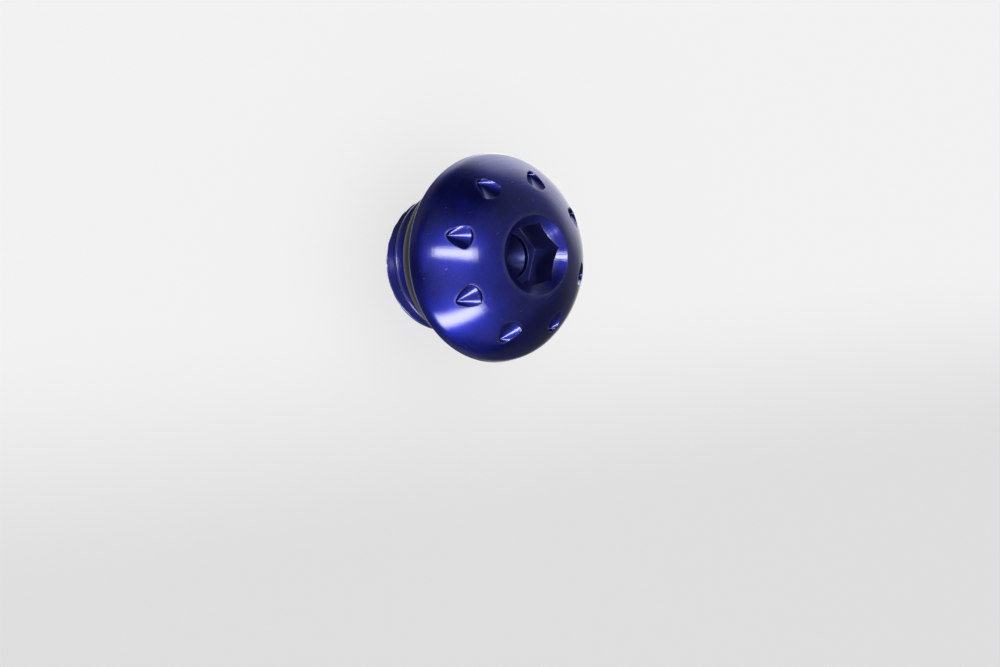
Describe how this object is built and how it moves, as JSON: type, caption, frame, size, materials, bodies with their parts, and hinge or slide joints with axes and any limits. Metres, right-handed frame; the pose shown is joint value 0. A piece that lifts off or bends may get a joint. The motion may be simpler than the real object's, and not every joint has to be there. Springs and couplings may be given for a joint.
{
  "type": "domed screw plug",
  "caption": "Domed screw plug for a threaded filler or inspection port: notched round head, hex socket, short threaded stub and rubber sealing ring.",
  "frame": {"origin": "centre of the threaded stub's flat end face", "axes": "+Z along the plug's axis, out of the domed head; +X over one of the head's notches"},
  "size_m": [0.029, 0.029, 0.0217],
  "materials": {
    "anodised_aluminium": "satin blue anodise over turned and milled aluminium",
    "black_rubber": "matt moulded nitrile rubber"
  },
  "bodies": {
    "root": {"plug_body": "anodised_aluminium", "o_ring": "black_rubber"}
  },
  "joints": []
}
